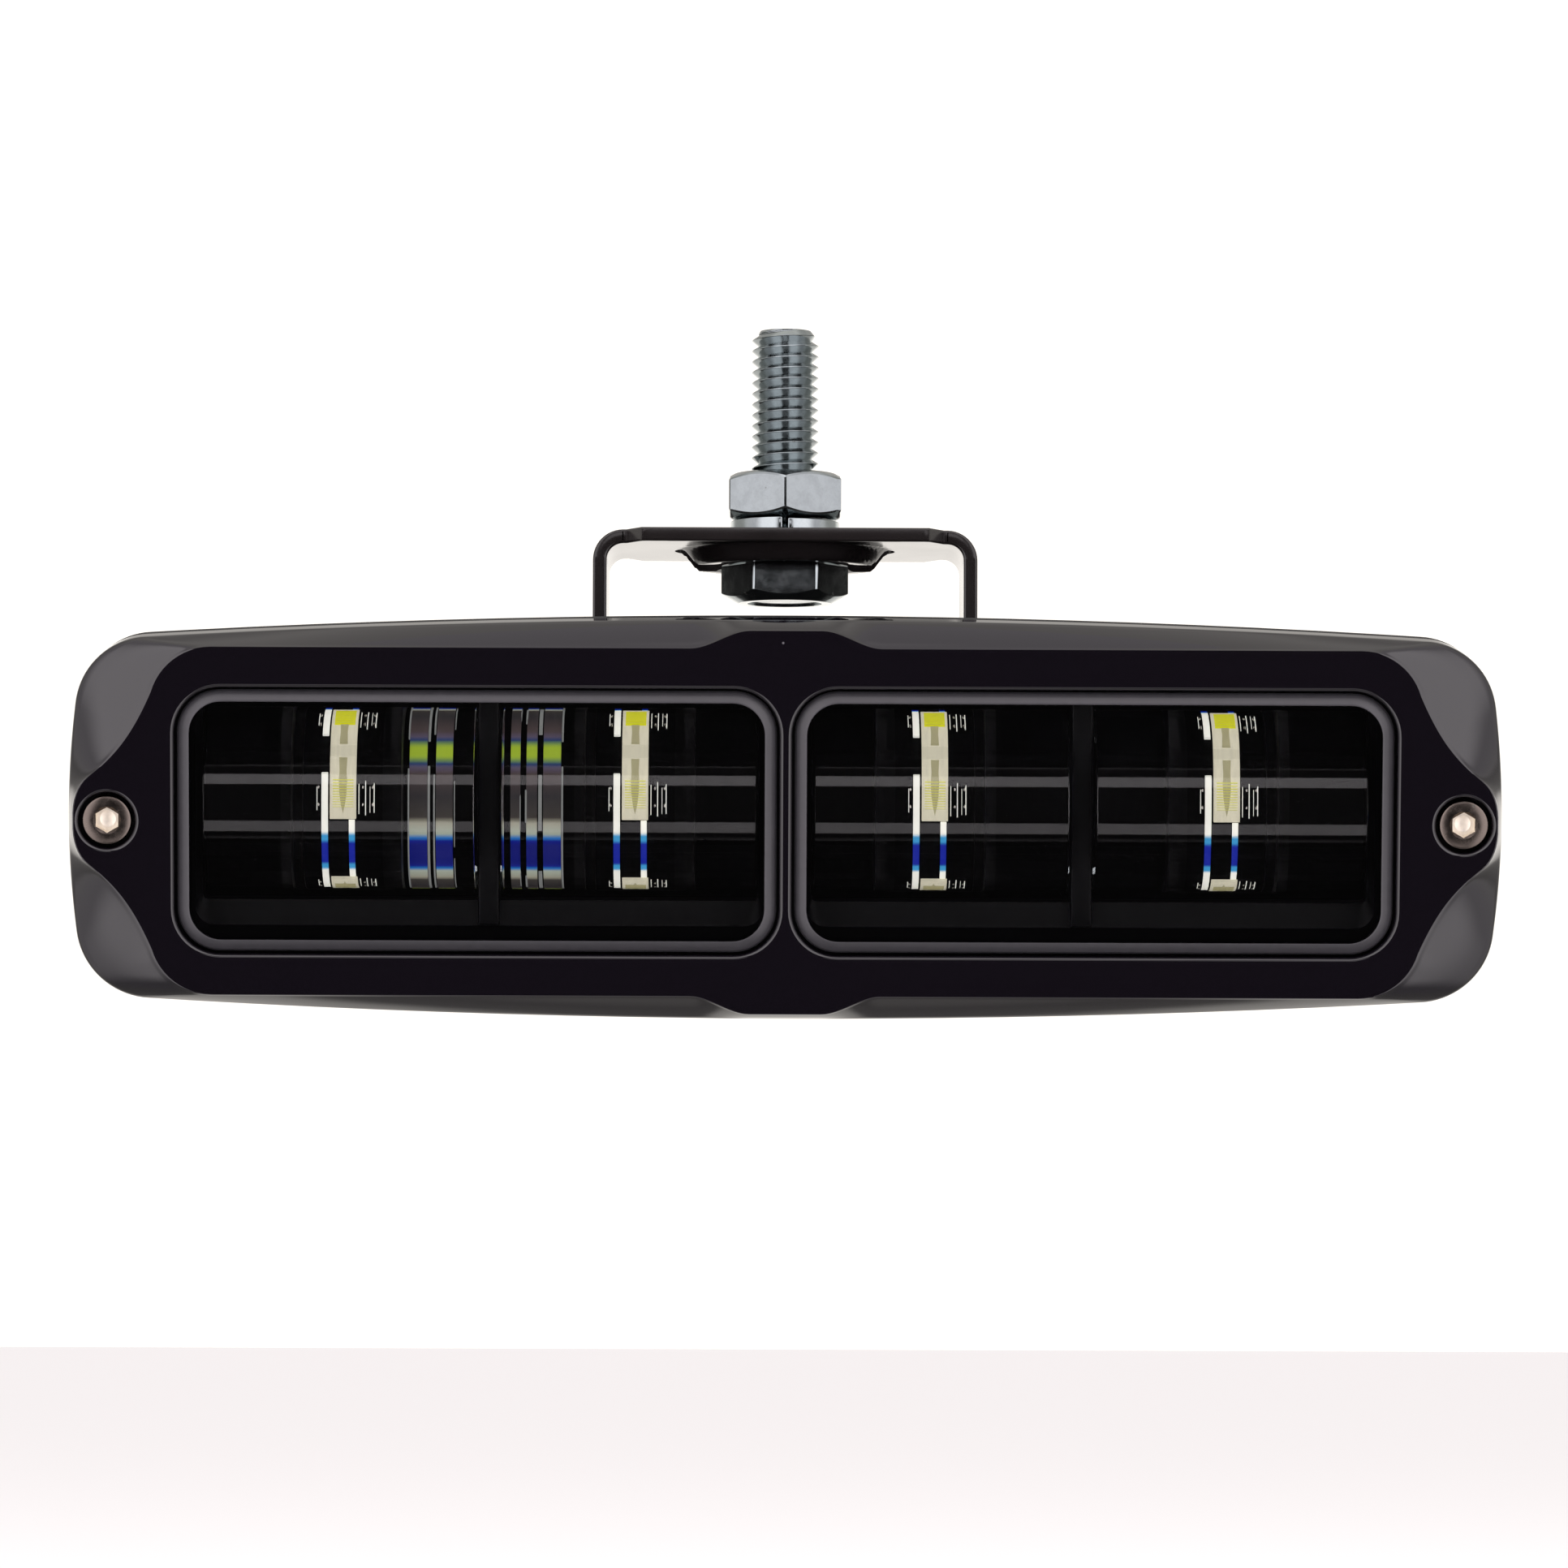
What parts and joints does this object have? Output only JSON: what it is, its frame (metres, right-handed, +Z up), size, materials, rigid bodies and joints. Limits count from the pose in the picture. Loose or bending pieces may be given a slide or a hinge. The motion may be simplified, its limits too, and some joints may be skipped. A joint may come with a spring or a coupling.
{
  "type": "fog light",
  "caption": "Wide, low LED fog light with two windows over bar lenses, tilting in a U bracket that swivels on a bolt.",
  "frame": {"origin": "on the mounting bolt's axis, at the level of the bracket plate's top face", "axes": "+Z up along the mounting bolt, the lamp looks towards -Y (tilted 10 degrees nose-down at rest), +X along the lamp's length to a viewer's right when facing the lamp"},
  "size_m": [0.1602, 0.0654, 0.0813],
  "materials": {
    "zinc_steel": "bright zinc plating",
    "bracket_steel": "satin black powder coat",
    "cast_aluminium": "satin black paint",
    "seal_rubber": "matt black",
    "bezel_plastic": "gloss black",
    "clear_plastic": "clear, polished",
    "inner_plastic": "dark, fine texture",
    "stainless_steel": "polished",
    "nylon": "black nylon",
    "phosphor": "yellow light-source surface",
    "metal_core_board": "black solder mask",
    "thermal_pad": "soft grey pad",
    "circuit_board": "green solder mask",
    "ferrite": "dark ferrite",
    "aluminium_can": "bright can",
    "vent_plastic": "grey"
  },
  "bodies": {
    "mounting_hardware": {"mounting_bolt": "zinc_steel", "flat_washer": "zinc_steel", "spring_washer": "zinc_steel", "mounting_nut": "zinc_steel"},
    "bracket": {"mounting_bracket": "bracket_steel"},
    "lamp": {"rear_housing": "cast_aluminium", "housing_gasket": "seal_rubber", "front_bezel": "bezel_plastic", "window_pane_left": "clear_plastic", "pane_seal_left": "seal_rubber", "optic_frame_left": "inner_plastic", "bezel_screw_left": "stainless_steel", "pivot_screw_left": "stainless_steel", "pivot_washer_left": "stainless_steel", "friction_washer_left": "nylon", "window_pane_right": "clear_plastic", "pane_seal_right": "seal_rubber", "optic_frame_right": "inner_plastic", "bezel_screw_right": "stainless_steel", "pivot_screw_right": "stainless_steel", "pivot_washer_right": "stainless_steel", "friction_washer_right": "nylon", "cylinder_lens_1": "clear_plastic", "led_shroud_1": "inner_plastic", "led_1": "phosphor", "board_screw_1": "zinc_steel", "cylinder_lens_2": "clear_plastic", "led_shroud_2": "inner_plastic", "led_2": "phosphor", "board_screw_2": "zinc_steel", "cylinder_lens_3": "clear_plastic", "led_shroud_3": "inner_plastic", "led_3": "phosphor", "board_screw_3": "zinc_steel", "cylinder_lens_4": "clear_plastic", "led_shroud_4": "inner_plastic", "led_4": "phosphor", "board_screw_4": "zinc_steel", "led_board": "metal_core_board", "thermal_pad": "thermal_pad", "driver_board": "circuit_board", "driver_inductor": "ferrite", "driver_capacitor": "aluminium_can", "board_connector": "nylon", "cable_gland": "nylon", "gland_nut": "nylon", "breather_vent": "vent_plastic"}
  },
  "joints": [
    {"name": "bracket_swivel", "type": "hinge", "parent": "mounting_hardware", "child": "bracket", "pos_m": [0, 0, 0], "axis": [0, 0, 1], "continuous": true},
    {"name": "lamp_tilt", "type": "hinge", "parent": "bracket", "child": "lamp", "pos_m": [0, 0, -0.0288], "axis": [1, 0, 0], "range_deg": [-22, 20]}
  ]
}
